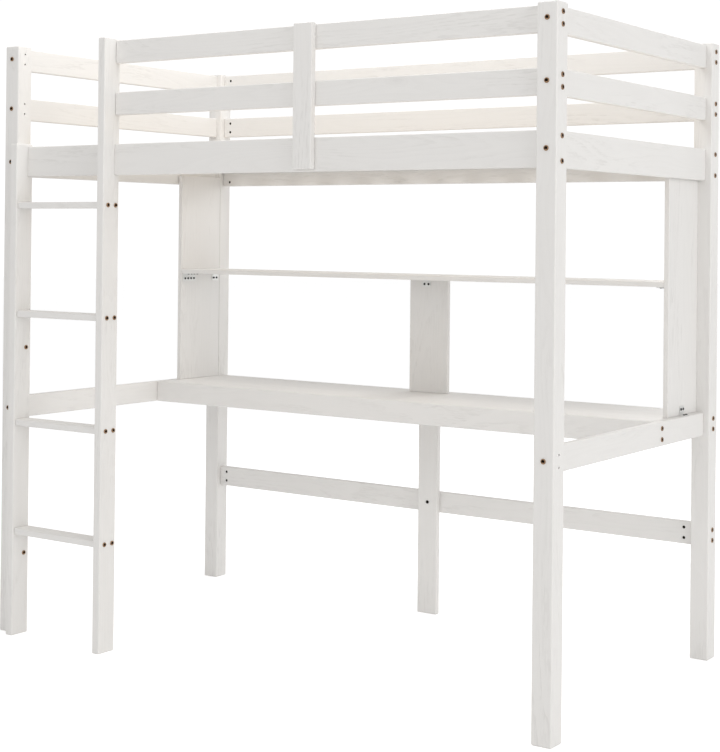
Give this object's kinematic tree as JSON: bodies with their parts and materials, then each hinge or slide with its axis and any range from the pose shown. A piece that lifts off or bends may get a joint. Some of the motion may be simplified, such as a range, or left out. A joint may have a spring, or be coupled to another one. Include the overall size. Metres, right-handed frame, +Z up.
{
  "type": "loft bed with desk",
  "caption": "Raised single bed on square posts with slatted mattress support, guard rails, a straight ladder, and a long desk with a shelf underneath.",
  "frame": {"origin": "middle of the footprint on the floor, the ladder's depth counted in", "axes": "+X along the bed away from the ladder end, +Y from the ladder side to the back, +Z up"},
  "size_m": [1.985, 1.101, 1.874],
  "materials": {
    "painted_wood": "satin white paint over brushed softwood, with the grain showing faintly",
    "bare_wood": "unpainted planed pine",
    "zinc_steel": "zinc-plated pressed steel",
    "bronze_steel": "antique bronze plating on bolt heads and barrel nuts"
  },
  "bodies": {
    "root": {"post_front_left": "painted_wood", "post_front_right": "painted_wood", "post_back_left": "painted_wood", "post_back_right": "painted_wood", "side_rail_front": "painted_wood", "side_rail_back": "painted_wood", "guard_rail_front_upper": "painted_wood", "guard_rail_front_lower": "painted_wood", "guard_rail_back_upper": "painted_wood", "guard_rail_back_lower": "painted_wood", "end_rail_left_upper": "painted_wood", "end_rail_left_middle": "painted_wood", "end_rail_left_lower": "painted_wood", "end_rail_right_upper": "painted_wood", "end_rail_right_middle": "painted_wood", "end_rail_right_lower": "painted_wood", "guard_upright": "painted_wood", "ladder_stile_left": "painted_wood", "ladder_stile_right": "painted_wood", "ladder_rung_1": "painted_wood", "ladder_rung_2": "painted_wood", "ladder_rung_3": "painted_wood", "ladder_rung_4": "painted_wood", "slat_ledger_front": "painted_wood", "slat_ledger_back": "painted_wood", "bed_slat_01": "bare_wood", "bed_slat_02": "bare_wood", "bed_slat_03": "bare_wood", "bed_slat_04": "bare_wood", "bed_slat_05": "bare_wood", "bed_slat_06": "bare_wood", "bed_slat_07": "bare_wood", "bed_slat_08": "bare_wood", "bed_slat_09": "bare_wood", "bed_slat_10": "bare_wood", "bed_slat_11": "bare_wood", "bed_slat_12": "bare_wood", "bed_slat_13": "bare_wood", "desk_end_rail_left": "painted_wood", "desk_end_rail_right": "painted_wood", "desk_back_rail": "painted_wood", "back_stretcher": "painted_wood", "desk_apron": "painted_wood", "desktop": "painted_wood", "desk_cleat_front": "painted_wood", "desk_centre_leg": "painted_wood", "desk_cleat_back_left": "painted_wood", "desk_cleat_back_right": "painted_wood", "hutch_panel_left": "painted_wood", "hutch_panel_right": "painted_wood", "hutch_shelf": "painted_wood", "hutch_divider": "painted_wood", "shelf_bracket_left_front": "zinc_steel", "shelf_bracket_left_back": "zinc_steel", "shelf_bracket_right_front": "zinc_steel", "shelf_bracket_right_back": "zinc_steel", "divider_bracket_top": "zinc_steel", "divider_bracket_foot": "zinc_steel", "panel_bracket_left": "zinc_steel", "panel_bracket_right": "zinc_steel"}
  },
  "joints": []
}
